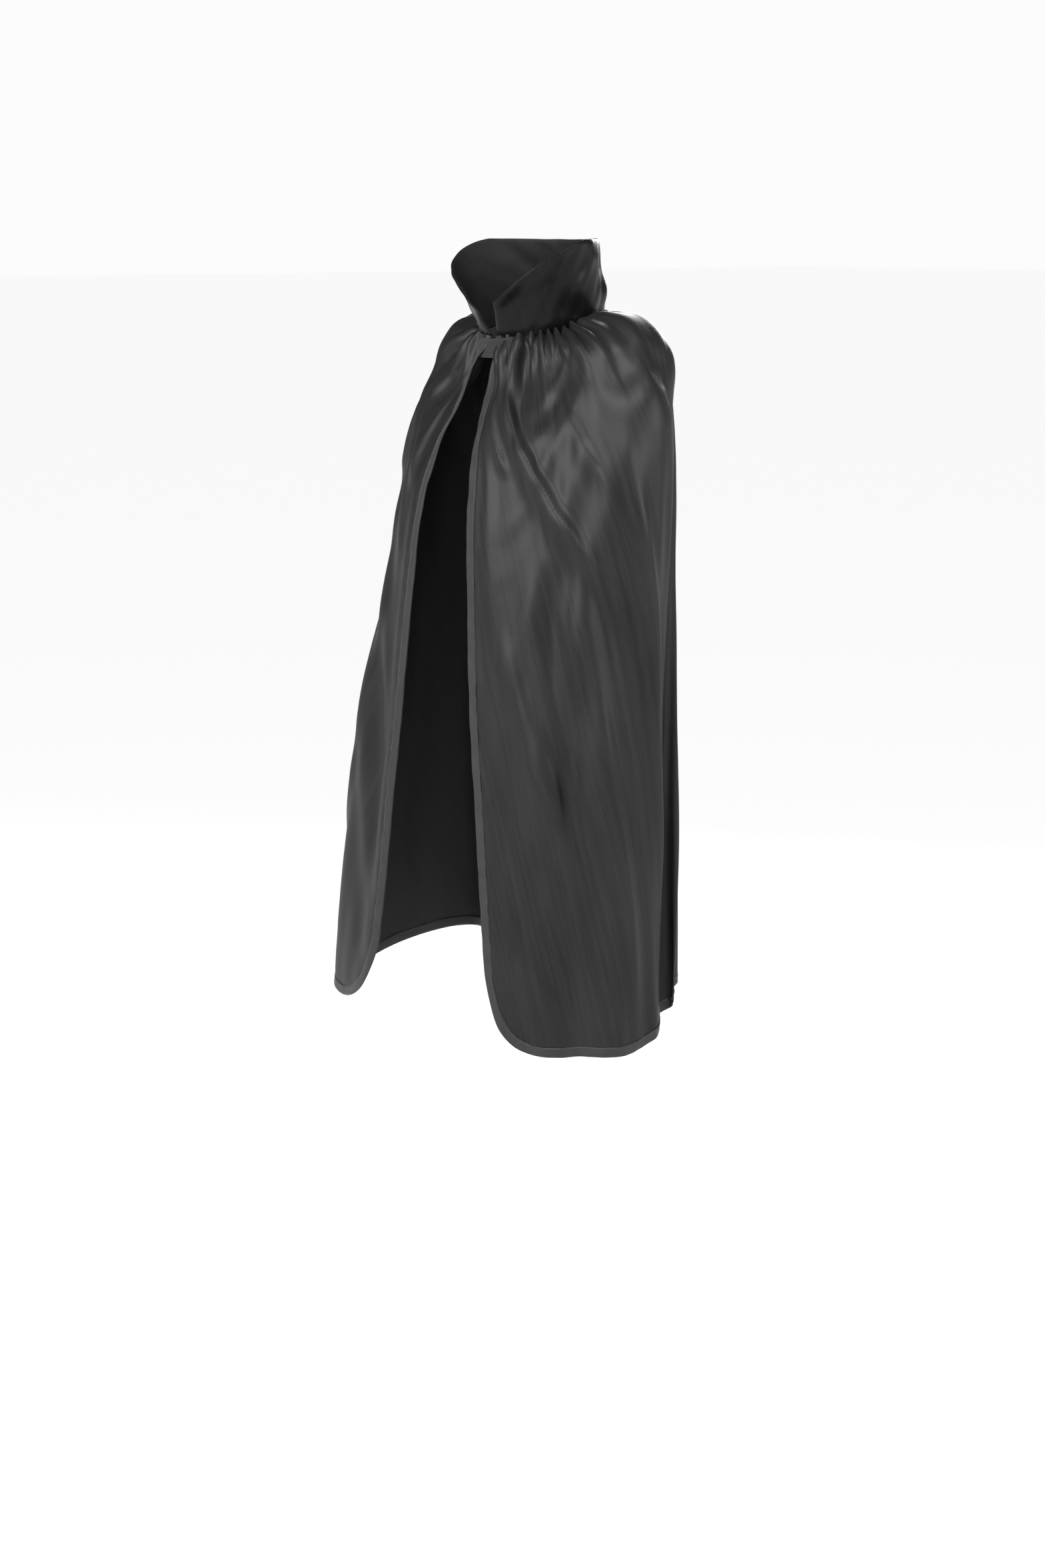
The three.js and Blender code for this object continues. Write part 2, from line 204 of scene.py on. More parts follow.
def satin(name, dark, light, dull, shine, shine_level=0.21):
    """Warp-faced satin: long smooth floats that shine down their length, a slight slub and press marks."""
    finish = Finish(name, Specular_IOR_Level=shine_level, Anisotropic=0.4)
    place = finish.cut()
    warp = finish.waves(place, 0.05 / THREAD_PITCH, "X")
    weft = finish.waves(finish.stretched(place, 1, 0.2), 0.05 / THREAD_PITCH, "Y")
    slub = finish.cloud(finish.stretched(place, 900, 26), 1.0, 4.0, 0.6)
    press = finish.cloud(finish.stretched(place, 26, 9), 1.0, 3.0)
    streak = finish.cloud(finish.stretched(place, 150, 2.2), 1.0, 3.0, 0.6)
    tone = slub * 0.25 + press * 0.35 + streak * 0.4
    colour = finish.blend(tone.clipped(0.3, 0.7), dark, light)
    roughness = (slub * 0.1 + press * 0.08 + streak * 0.1 + shine).clipped(0.0, 1.0)
    weave = warp * 0.6 + weft * 0.4
    fine = finish.bump(weave, 0.00003, dull)
    soft = finish.bump(press * 0.5 + slub * 0.3 + streak * 0.4, 0.0007, 0.6, fine)
    return finish.feeds(Base_Color=colour, Roughness=roughness, Normal=soft)


def woven_tape(name, level):
    """Folded tape: a plain close weave, duller than the satin."""
    finish = Finish(name, Specular_IOR_Level=0.4, Sheen_Weight=0.1)
    place = finish.place()
    ribs = finish.node("ShaderNodeTexVoronoi", {"feature": "F1"}, Vector=place, Scale=1900.0)
    worn = finish.cloud(place, 70.0)
    fuzz = finish.cloud(place, 2600.0, 2.0)
    colour = finish.blend(worn.clipped(0.3, 0.7), grey(level * 0.75), grey(level * 1.25))
    weave = finish.bump(ribs + fuzz * 0.5, 0.00012, 0.8)
    return finish.feeds(Base_Color=colour, Roughness=worn * 0.15 + 0.5, Normal=weave)


def pile(name, level, scale, height):
    """The looped or hooked face of a hook-and-loop tape."""
    finish = Finish(name, Specular_IOR_Level=0.2, Sheen_Weight=0.12, Sheen_Roughness=0.6)
    place = finish.place()
    loops = finish.node("ShaderNodeTexVoronoi", {"feature": "F1"}, Vector=place, Scale=scale)
    tuft = finish.cloud(place, scale * 0.35, 4.0, 0.7)
    lint = finish.cloud(place, 420.0, 5.0, 0.7).clipped(0.62, 0.72)
    shade = finish.blend(tuft.clipped(0.3, 0.7), grey(level * 0.55), grey(level * 1.3))
    colour = finish.blend(lint * 0.4, shade, grey(level * 3.2))
    raised = finish.bump((1 - loops) * 0.6 + tuft * 0.6, height, 0.9)
    return finish.feeds(Base_Color=colour, Roughness=tuft * 0.1 + 0.85, Normal=raised)


def spun_thread(name, level):
    finish = Finish(name, Specular_IOR_Level=0.5, Sheen_Weight=0.1)
    place = finish.place()
    twist = finish.cloud(finish.stretched(place, 1, 1, 2.5), 3500.0, 2.0)
    colour = finish.blend(twist, grey(level * 0.7), grey(level * 1.3))
    strands = finish.bump(twist, 0.0001, 0.7)
    return finish.feeds(Base_Color=colour, Roughness=twist * 0.2 + 0.35, Normal=strands)


def felted(name, dark, light, scale):
    """Non-woven stiffener, or the close weave of a label."""
    finish = Finish(name, Specular_IOR_Level=0.3, Sheen_Weight=0.1)
    place = finish.place()
    fibre = finish.cloud(finish.stretched(place, 1, 1, 0.4), scale, 5.0, 0.7)
    colour = finish.blend(fibre, dark, light)
    nap = finish.bump(fibre, 0.0002, 0.6)
    return finish.feeds(Base_Color=colour, Roughness=fibre * 0.1 + 0.8, Normal=nap)


SATIN = satin("cape_satin", grey(0.004, blue=0.06), grey(0.02, blue=0.06), 0.7, 0.3)
SATIN_BACK = satin("satin_wrong_side", grey(0.008), grey(0.014), 0.9, 0.45)
COLLAR_SATIN = satin("collar_satin", grey(0.003), grey(0.008, blue=0.04), 0.7, 0.18, 0.13)
LINING = satin("collar_lining_cloth", grey(0.005, red=0.06), grey(0.009, red=0.06), 0.9, 0.5)
TAPE = woven_tape("binding_tape", 0.012)
FUZZ = pile("loop_pile", 0.009, 1500.0, 0.0004)
HOOKS = pile("hook_face", 0.012, 900.0, 0.0006)
THREAD = spun_thread("black_thread", 0.03)
STIFFENER = felted("collar_stiffener_felt", grey(0.03), grey(0.06), 900.0)
LABEL = felted("label_weave", grey(0.5), grey(0.7), 1500.0)


# ---------------------------------------------------------------- curves and surfaces

def station(table, key, drop):
    return np.interp(drop, table["drop"], table[key])


def smooth_station(table, key, drop):
    """A station's value, rounded over its corners."""
    spread = 0.012 + 0.12 * np.asarray(drop)
    offsets = np.linspace(-1, 1, 9)
    weights = 1 - np.abs(offsets) * 0.8
    values = [station(table, key, np.maximum(drop + o * spread, 0)) for o in offsets]
    return np.tensordot(weights / weights.sum(), np.array(values), axes=1)


def ease(low, high, x):
    t = np.clip((np.asarray(x, dtype=float) - low) / (high - low), 0, 1)
    return t * t * (3 - 2 * t)


def envelope(angle, drop):
    """Points of the plain hanging shape. Angles in degrees run -180 to 180 from the middle of the back."""
    sine, cosine = np.sin(np.radians(angle)), np.cos(np.radians(angle))
    near_neck = 1 - ease(0.0, 0.03, drop)
    reaches = []
    for first, second, turn in (("left", "right", sine), ("back", "front", cosine)):
        plain, rounded = [], []
        for key in (first, second):
            plain.append(station(SECTIONS, key, drop))
            rounded.append(smooth_station(SECTIONS, key, drop))
        smooth = np.where(turn >= 0, *rounded)
        reaches.append(smooth * (1 - near_neck) + np.where(turn >= 0, *plain) * near_neck)
    wide, deep = reaches
    power = 2 + np.where((sine < 0) & (cosine < 0), drop / DROP, 0)
    reach = ((np.abs(sine) / wide) ** power + (np.abs(cosine) / deep) ** power) ** (-1 / power)
    tilt = NECK_TILT * cosine * (1 - ease(0, TILT_FADES_BY, drop))
    return np.stack([reach * sine, reach * cosine, tilt - drop], axis=-1)


def grid_mesh(name, points, material, closed=False):
    """A mesh from a (rows, columns, 3) array of points."""
    rows, columns = points.shape[:2]
    index = np.arange(rows * columns).reshape(rows, columns)
    right = np.roll(index, -1, axis=1) if closed else index[:, 1:]
    left = index if closed else index[:, :-1]
    faces = np.stack([left[:-1], left[1:], right[1:], right[:-1]], axis=-1).reshape(-1, 4)
    mesh = bpy.data.meshes.new(name)
    mesh.from_pydata(points.reshape(-1, 3).tolist(), [], faces.tolist())
    mesh.materials.append(material)
    mesh.polygons.foreach_set("use_smooth", [True] * len(mesh.polygons))
    piece = bpy.data.objects.new(name, mesh)
    bpy.context.collection.objects.link(piece)
    return piece


def points_of(piece):
    flat = np.empty(len(piece.data.vertices) * 3)
    piece.data.vertices.foreach_get("co", flat)
    return flat.reshape(-1, 3)


def apply_modifiers(piece):
    bpy.context.view_layer.update()
    done = bpy.data.meshes.new_from_object(piece.evaluated_get(bpy.context.evaluated_depsgraph_get()))
    piece.modifiers.clear()
    piece.data = done


def normals_of(points):
    """Unit normals of a grid: outward where rows run down and columns run clockwise, seen from above."""
    down = np.gradient(points, axis=0)
    across = np.gradient(points, axis=1)
    normal = np.cross(across, down)
    return normal / np.maximum(np.linalg.norm(normal, axis=-1, keepdims=True), 1e-12)


def rough(points, size, seed=0.0):
    """Smooth noise from -1 to 1 at each point."""
    shift = SEED * (1 + seed)
    flat = points.reshape(-1, 3)
    values = [noise.noise(Vector(p) / size + shift) for p in flat]
    return np.array(values).reshape(points.shape[:-1])


# ---------------------------------------------------------------- the cloth of the cape

COLUMNS = 192
ROWS = 100
EDGE_HOLD = 0.7             # how firmly the front edges keep the place that they were hung in
EDGE_COLUMNS = 16
FRONT_DRAWN = 0.7           # how far the hung fronts are drawn back towards the shape they were hung in
HANG_FRAMES = 60


def cut_length(across):
    """Length of the cut at a share of its width, from -0.5 to 0.5: longest over the shoulders."""
    shoulder = np.exp(-((np.abs(across) - 0.26) / 0.13) ** 2)
    return CUT_LENGTH - SHOULDER_EXTRA * (1 - shoulder)


def cut_width(y):
    return CUT_NECK + (CUT_HEM - CUT_NECK) * y / CUT_LENGTH


def cut_pattern():
    """Flat places of the cloth's grid: flared, with rounded lower front corners and a raised back hem."""
    across = np.linspace(-0.5, 0.5, COLUMNS + 1)
    down = np.linspace(0, 1, ROWS + 1) ** 1.15
    from_edge = (0.5 - np.abs(across)) * CUT_HEM
    inside = np.clip(1 - from_edge / CORNER, 0, 1)
    length = cut_length(across) - CORNER * (1 - np.sqrt(1 - inside ** 2))
    right, left = ease(-0.44, -0.3, across), ease(0.34, 0.1, across)
    length = length - BACK_RISE * right * left
    y = down[:, None] * length[None, :]
    return across[None, :] * cut_width(y), y


def hanging_start(flat_x, flat_y):
    """The cloth wrapped on the hanging shape, with folds that take up the spare width."""
    share = flat_x / cut_width(flat_y) + 0.5
    drop = flat_y * DROP / cut_length(share - 0.5)
    left_edge, right_edge = station(EDGES, "left", drop), station(EDGES, "right", drop)
    spare_behind = 0.1 * ease(0.05, 0.3, drop)
    share = share + spare_behind * np.sin(2 * np.pi * share) / (2 * np.pi)
    angle = -right_edge + share * (right_edge + left_edge)
    base = envelope(angle, drop)
    outward = normals_of(base)
    around = np.arange(COLUMNS + 1) / COLUMNS
    gathers = np.sin(2 * np.pi * GATHERS * around + 1.7 * np.sin(2 * np.pi * 7 * around))
    gather_size = 0.0036 * (1 - ease(0.0, 0.045, drop)) + 0.0008
    puffs = np.sin(2 * np.pi * 8 * around + 2.6 * np.sin(2 * np.pi * 2.7 * around + 1.0))
    puff_size = 0.006 * ease(0.0, 0.03, drop) * (1 - ease(0.05, 0.16, drop))
    folds = np.sin(2 * np.pi * 9 * around + 2.2 * np.sin(2 * np.pi * 3.3 * around))
    fold_size = 0.014 * ease(0.1, 0.5, drop) * (0.3 + 0.7 * np.sin(np.pi * np.clip(share, 0, 1)) ** 2)
    out = gathers[None, :] * gather_size + folds[None, :] * fold_size + puffs[None, :] * puff_size
    return base + outward * out[..., None]


def ball(bm, centre, size):
    made = bmesh.ops.create_uvsphere(bm, u_segments=28, v_segments=18, radius=1)
    place = Matrix.Translation(centre) @ Matrix.Diagonal((*size, 1))
    bmesh.ops.transform(bm, matrix=place, verts=made["verts"])


def limb(bm, start, end, thick, thin, count=12):
    for i in range(count):
        t = i / (count - 1)
        size = thick + (thin - thick) * t
        ball(bm, Vector(start).lerp(Vector(end), t), (size, size, size * 1.2))


def dress_form():
    """A plain body form that the cloth is hung on. It is taken away afterwards."""
    bm = bmesh.new()
    ball(bm, (0, 0.002, -0.22), (0.128, 0.088, 0.19))
    ball(bm, (0, -0.008, -0.42), (0.125, 0.1, 0.3))
    limb(bm, (-0.085, 0.012, -0.062), (0.085, 0.012, -0.062), 0.056, 0.056, 9)
    limb(bm, (0, 0.008, -0.11), (0, -0.004, 0.02), 0.06, 0.047, 8)
    limb(bm, (0.118, 0.0, -0.088), (0.134, -0.012, -0.62), 0.04, 0.03, 16)
    limb(bm, (-0.118, 0.0, -0.088), (-0.212, -0.05, -0.62), 0.04, 0.034, 16)
    mesh = bpy.data.meshes.new("dress_form")
    bm.to_mesh(mesh)
    bm.free()
    form = bpy.data.objects.new("dress_form", mesh)
    bpy.context.collection.objects.link(form)
    remesh = form.modifiers.new("skin", "REMESH")
    remesh.mode = "VOXEL"
    remesh.voxel_size = 0.008
    round_off = form.modifiers.new("round", "SMOOTH")
    round_off.iterations = 12
    apply_modifiers(form)
    form.modifiers.new("touch", "COLLISION")
    form.collision.thickness_outer = 0.004
    form.collision.cloth_friction = 12
    return form


def hang_cloth():
    """Hangs the flat cut on the dress form and returns its points as a (rows, columns, 3) grid."""
    flat_x, flat_y = cut_pattern()
    start = hanging_start(flat_x, flat_y)
    form = dress_form()
    cloth = grid_mesh("cloth", start, bpy.data.materials.new("plain"))
    cloth.shape_key_add(name="Basis")
    cut = cloth.shape_key_add(name="cut")
    flat = np.stack([flat_x, np.zeros_like(flat_x), -flat_y], axis=-1)
    cut.data.foreach_set("co", flat.reshape(-1))
    held = cloth.vertex_groups.new(name="held")
    held.add(list(range(COLUMNS + 1)), 1.0, "REPLACE")
    held.add(list(range(COLUMNS + 1, 2 * (COLUMNS + 1))), 0.5, "REPLACE")
    for row in range(2, ROWS + 1):
        for column in range(EDGE_COLUMNS):
            hold = EDGE_HOLD * (1 - column / EDGE_COLUMNS) ** 2
            held.add([row * (COLUMNS + 1) + column, (row + 1) * (COLUMNS + 1) - 1 - column], hold, "REPLACE")
    hang = cloth.modifiers.new("hang", "CLOTH")
    settings = hang.settings
    settings.quality = 8
    settings.mass = 0.12
    settings.air_damping = 2
    settings.tension_stiffness = settings.compression_stiffness = 12
    settings.shear_stiffness = 6
    settings.bending_stiffness = 0.35
    settings.tension_damping = settings.compression_damping = settings.shear_damping = 8
    settings.bending_damping = 1
    settings.vertex_group_mass = "held"
    settings.rest_shape_key = cut
    hang.collision_settings.distance_min = 0.003
    hang.collision_settings.use_self_collision = False
    scene = bpy.context.scene
    scene.frame_start, scene.frame_end = 1, HANG_FRAMES
    hang.point_cache.frame_start, hang.point_cache.frame_end = 1, HANG_FRAMES
    for step in range(1, HANG_FRAMES + 1):
        scene.frame_set(step)
    settled = cloth.evaluated_get(bpy.context.evaluated_depsgraph_get())
    points = points_of(settled).reshape(start.shape)
    scene.frame_set(1)
    bpy.data.objects.remove(cloth)
    bpy.data.objects.remove(form)
    return points


def settled(flat_x, flat_y):
    """The hung cloth, with the fronts drawn back towards the shape that they were hung in."""
    start = hanging_start(flat_x, flat_y)
    from_middle = np.abs(flat_x / cut_width(flat_y))
    drawn = FRONT_DRAWN * ease(0.16, 0.3, from_middle) * ease(0.02, 0.1, flat_y)
    return start * drawn[..., None] + hang_cloth() * (1 - drawn[..., None])


def finer(points):
    """Twice as many rows and columns, on smooth curves through the old ones."""
    for axis in (0, 1):
        p = np.swapaxes(points, 0, axis)
        before = np.concatenate([2 * p[:1] - p[1:2], p[:-2]])
        after = np.concatenate([p[2:], 2 * p[-1:] - p[-2:-1]])
        middle = (9 * (p[:-1] + p[1:]) - before - after) / 16
        out = np.empty((2 * len(p) - 1, *p.shape[1:]))
        out[0::2], out[1::2] = p, middle
        points = np.swapaxes(out, 0, axis)
    return points


def relax(points, turns):
    """Takes the last zigzags out of the hung cloth, leaving its outline where it is."""
    for _ in range(turns):
        inner = points[1:-1, 1:-1]
        beside = points[1:-1, :-2] + points[1:-1, 2:] + points[:-2, 1:-1] + points[2:, 1:-1]
        points = points.copy()
        points[1:-1, 1:-1] = inner + 0.4 * (beside / 4 - inner)
        for edge in (0, -1):
            line = points[1:-1, edge]
            line += 0.3 * ((points[:-2, edge] + points[2:, edge]) / 2 - line)
            line = points[edge, 1:-1]
            if edge:
                line += 0.3 * ((points[edge, :-2] + points[edge, 2:]) / 2 - line)
    return points


FOLD_HEIGHT = 0.014
PUFF_HEIGHT = 0.012
CREASES = (      # on the cut: from x, y to x, y, then width and height
    (0.385, 0.03, 0.315, 0.245, 0.018, 0.010),
    (0.41, 0.03, 0.385, 0.14, 0.012, 0.006),
    (0.31, 0.03, 0.28, 0.16, 0.014, 0.003),
    (0.43, 0.30, 0.40, 0.60, 0.024, 0.004),
    (0.33, 0.20, 0.365, 0.68, 0.030, 0.009),
    (0.255, 0.10, 0.29, 0.64, 0.026, 0.008),
    (-0.36, 0.04, -0.40, 0.16, 0.014, 0.005),
    (-0.30, 0.05, -0.33, 0.25, 0.018, 0.005),
    (-0.40, 0.25, -0.44, 0.62, 0.022, 0.005),
)


def puckers(points, flat_x, flat_y):
    """Fine gathers under the neck seam, drawn-in ripples along the binding and soft press marks."""
    out = normals_of(points)
    share = flat_x / cut_width(flat_y)
    strand = np.stack([share * 34, np.zeros_like(share), flat_y * 9], axis=-1)
    reach = 0.02 + 0.032 * (0.5 + 0.5 * rough(strand, 1.6, 0.3))
    fade = np.exp(-(flat_y / reach) ** 1.4)
    wander = 2.6 * rough(strand, 2.2, 0.7)
    gather = np.sin(2 * np.pi * GATHERS * share + 1.4 * wander) * (0.6 + 0.8 * rough(strand, 1.3, 1.1))
    from_side = cut_width(flat_y) / 2 - np.abs(flat_x)
    from_hem = flat_y[-1:] - flat_y
    edge = np.exp(-np.minimum(np.abs(from_side), np.abs(from_hem)) / 0.012)
    run = np.stack([flat_x, flat_y, np.zeros_like(flat_x)], axis=-1)
    ripple = rough(run, 0.009, 0.2) * edge
    pressed = rough(run * np.array([1.0, 0.45, 1.0]), 0.05, 0.9)
    hanging = np.stack([share * 15 + flat_y * 1.2, np.zeros_like(share), flat_y * 1.7], axis=-1)
    folds = rough(hanging, 1.0, 1.7) + 0.2 * rough(hanging * np.array([2.3, 1, 1.6]), 1.0, 2.3)
    folds = folds * ease(0.06, 0.3, flat_y)
    away = ease(0.0, 0.06, from_side)
    for from_x, from_y, to_x, to_y, width, size in CREASES:
        run_x, run_y = to_x - from_x, to_y - from_y
        length = math.hypot(run_x, run_y)
        t = ((flat_x - from_x) * run_x + (flat_y - from_y) * run_y) / length ** 2
        off = ((flat_x - from_x) * run_y - (flat_y - from_y) * run_x) / length / width
        ends = ease(-0.1, 0.25, t) * ease(1.1, 0.75, t)
        crease = np.where(off > 0, np.exp(-off ** 2), np.exp(-(off * 3) ** 2))
        folds = folds + size / FOLD_HEIGHT * crease * ends
    height = 0.0027 * gather * fade + 0.0011 * ripple + 0.0012 * pressed * ease(0.02, 0.12, flat_y)
    height = height + FOLD_HEIGHT * folds * ease(0.02, 0.12, flat_y) * away
    puffs = rough(np.stack([share * 24, np.zeros_like(share), flat_y * 16], axis=-1), 1.0, 2.9)
    height = height + PUFF_HEIGHT * puffs * ease(0.0, 0.02, flat_y) * (1 - ease(0.04, 0.11, flat_y))
    held = ease(0, 0.006, flat_y)
    return points + out * (height * held)[..., None]


def closed_sheet(name, points, flat, thickness, materials):
    """A thin closed sheet round a grid of points. The last material is the inner face's."""
    rows, columns = points.shape[:2]
    out = normals_of(points) * thickness / 2
    both = np.concatenate([(points + out).reshape(-1, 3), (points - out).reshape(-1, 3)])
    index = np.arange(rows * columns).reshape(rows, columns)
    face = np.stack([index[:-1, :-1], index[:-1, 1:], index[1:, 1:], index[1:, :-1]], axis=-1).reshape(-1, 4)
    below = rows * columns
    ring = np.concatenate([index[0, :], index[1:, -1], index[-1, -2::-1], index[-2:0:-1, 0]])
    after = np.roll(ring, -1)
    rim = np.stack([after, ring, ring + below, after + below], axis=-1)
    faces = np.concatenate([face, face[:, ::-1] + below, rim])
    mesh = bpy.data.meshes.new(name)
    mesh.from_pydata(both.tolist(), [], faces.tolist())
    for material in materials:
        mesh.materials.append(material)
    outer, inner = 0, len(materials) - 1
    which = [outer] * len(face) + [inner] * len(face) + [outer] * len(rim)
    mesh.polygons.foreach_set("material_index", which)
    mesh.polygons.foreach_set("use_smooth", [True] * len(faces))
    plan = mesh.uv_layers.new(name="cut")
    corners = np.empty(len(mesh.loops), dtype=int)
    mesh.loops.foreach_get("vertex_index", corners)
    plan.data.foreach_set("uv", np.tile(flat.reshape(-1, 2), (2, 1))[corners].reshape(-1))
    rim_edges = {tuple(sorted(pair)) for pair in zip(ring.tolist(), after.tolist())}
    rim_edges |= {(a + below, b + below) for a, b in rim_edges}
    sharp = [tuple(sorted(e.vertices)) in rim_edges for e in mesh.edges]
    mesh.attributes.new("sharp_edge", "BOOLEAN", "EDGE").data.foreach_set("value", sharp)
    piece = bpy.data.objects.new(name, mesh)
    bpy.context.collection.objects.link(piece)
    return piece


def cape_half(points, flat, side, name):
    """One half of the cape, from the middle of the back to a front edge (side 1 is the wearer's left)."""
    middle = points.shape[1] // 2
    part = slice(middle, None) if side > 0 else slice(0, middle + 1)
    return closed_sheet(name, points[:, part], flat[:, part], CLOTH, [SATIN, SATIN_BACK]), points[:, part]


# ---------------------------------------------------------------- binding and thread

TAPE_SECTION = (      # x in from the cloth's edge, height from the cloth's middle, in millimetres
    (9.0, 0.34), (9.05, 0.7), (7.6, 0.78), (6.2, 0.95), (3.4, 0.9), (1.2, 1.0), (-0.3, 0.85), (-0.95, 0.35),
    (-0.95, -0.35), (-0.3, -0.85), (1.2, -1.0), (3.4, -0.9), (6.2, -0.95), (7.6, -0.78), (9.05, -0.7),
    (9.0, -0.34), (4.5, -0.36), (0.2, -0.36), (0.2, 0.36), (4.5, 0.36),
)
STITCHED_AT = 2             # the corner of the tape's section that the stitches lie on
BINDING_STITCH = {"pitch": 0.0032, "length": 0.0024, "thickness": 0.00042}
TAB_STITCH = {"pitch": 0.0027, "length": 0.0021, "thickness": 0.0005}
THREAD_LIFT = 0.0001


def edge_route(points, side):
    """Places, inward directions and normals down a half's front edge and along its hem."""
    out = normals_of(points)
    last = -1 if side > 0 else 0
    column, normal = points[:, last], out[:, last]
    step = -1 if side > 0 else 1
    hem = points[-1, ::step][1:]
    hem_normal = out[-1, ::step][1:]
    place = np.concatenate([column, hem])
    normal = np.concatenate([normal, hem_normal])
    for _ in range(3):
        place[1:-1] = place[1:-1] * 0.5 + (place[:-2] + place[2:]) * 0.25
        normal[1:-1] = normal[1:-1] * 0.5 + (normal[:-2] + normal[2:]) * 0.25
    along = np.gradient(place, axis=0)
    inward = np.cross(normal, along) * side
    inward /= np.linalg.norm(inward, axis=1, keepdims=True)
    return place, inward, normal


def edge_binding(name, half, route):
    """Folded tape closed over the edge of a half, lying on the cloth that it encloses."""
    place, inward, normal = route
    tree = surface_tree(half)
    ripple = rough(place, 0.007, 0.4)
    rings = []
    for i in range(len(place)):
        ring = []
        for x, height in TAPE_SECTION:
            x = x / 1000 + 0.0004 * ripple[i] * (x > 5)
            spot = Vector(place[i] + inward[i] * x)
            if x > 0.001:
                found = tree.find_nearest(spot)[0]
                spot = found if found is not None else spot
            lift = height / 1000 * (1 + 0.12 * ripple[i])
            ring.append(np.array(spot) + normal[i] * lift)
        rings.append(ring)
    return ring_mesh(name, np.array(rings), TAPE), np.array(rings)


def surface_tree(half):
    bm = bmesh.new()
    bm.from_mesh(half.data)
    tree = BVHTree.FromBMesh(bm)
    bm.free()
    return tree


def ring_mesh(name, rings, material):
    """A closed tube from (stations, ring, 3) points, with flat ends."""
    stations, around = rings.shape[:2]
    index = np.arange(stations * around).reshape(stations, around)
    turned = np.roll(index, -1, axis=1)
    faces = np.stack([index[:-1], turned[:-1], turned[1:], index[1:]], axis=-1).reshape(-1, 4).tolist()
    faces += [index[0, ::-1].tolist(), index[-1].tolist()]
    mesh = bpy.data.meshes.new(name)
    mesh.from_pydata(rings.reshape(-1, 3).tolist(), [], faces)
    mesh.materials.append(material)
    mesh.polygons.foreach_set("use_smooth", [True] * (len(faces) - 2) + [False] * 2)
    face_outward(mesh)
    piece = bpy.data.objects.new(name, mesh)
    bpy.context.collection.objects.link(piece)
    return piece


def face_outward(mesh):
    bm = bmesh.new()
    bm.from_mesh(mesh)
    bmesh.ops.recalc_face_normals(bm, faces=bm.faces)
    bm.to_mesh(mesh)
    bm.free()


def stitches(name, place, along, normal, pitch, length, thickness):
    """A row of thread stitches: long pointed beads that follow a line of places."""
    gone = np.concatenate([[0], np.cumsum(np.linalg.norm(np.diff(place, axis=0), axis=1))])
    centres = np.arange(pitch, gone[-1] - pitch, pitch)
    at = [np.interp(centres, gone, place[:, k]) for k in range(3)]
    ahead = [np.interp(centres, gone, along[:, k]) for k in range(3)]
    up = [np.interp(centres, gone, normal[:, k]) for k in range(3)]
    verts, faces = [], []
    for p, a, n in zip(np.stack(at, 1), np.stack(ahead, 1), np.stack(up, 1)):
        a, n = a / np.linalg.norm(a), n / np.linalg.norm(n)
        b = np.cross(a, n)
        base = len(verts)
        verts += [p - a * length / 2 - n * thickness * 0.4, p + a * length / 2 - n * thickness * 0.4]
        for shift in (-0.22, 0.22):
            for turn in range(6):
                angle = math.pi * turn / 3
                around = b * math.cos(angle) + n * math.sin(angle)
                verts.append(p + a * length * shift + around * thickness / 2)
        for turn in range(6):
            after = (turn + 1) % 6
            first, second = base + 2 + turn, base + 2 + after
            faces += [(base, second, first), (first, second, second + 6, first + 6),
                      (base + 1, first + 6, second + 6)]
    mesh = bpy.data.meshes.new(name)
    mesh.from_pydata([tuple(v) for v in verts], [], faces)
    mesh.materials.append(THREAD)
    mesh.polygons.foreach_set("use_smooth", [True] * len(faces))
    face_outward(mesh)
    piece = bpy.data.objects.new(name, mesh)
    bpy.context.collection.objects.link(piece)
    return piece


def binding_stitches(name, rings, normal):
    """The stitched line just inside the tape's outer folded edge."""
    row = rings[:, STITCHED_AT] + normal * THREAD_LIFT
    return stitches(name, row, np.gradient(row, axis=0), normal, **BINDING_STITCH)


# ---------------------------------------------------------------- collar

def collar_rim(from_back):
    down = np.clip((from_back - COLLAR_SHOULDER) / (COLLAR_OPENING - COLLAR_SHOULDER), 0, 1)
    rounded = down ** 2 * (1.6 - 0.6 * down)
    level = COLLAR_HEIGHT - NECK_TILT * np.cos(np.radians(from_back)) * (1 - down)
    return level + (COLLAR_FRONT - level) * (down + rounded) / 2


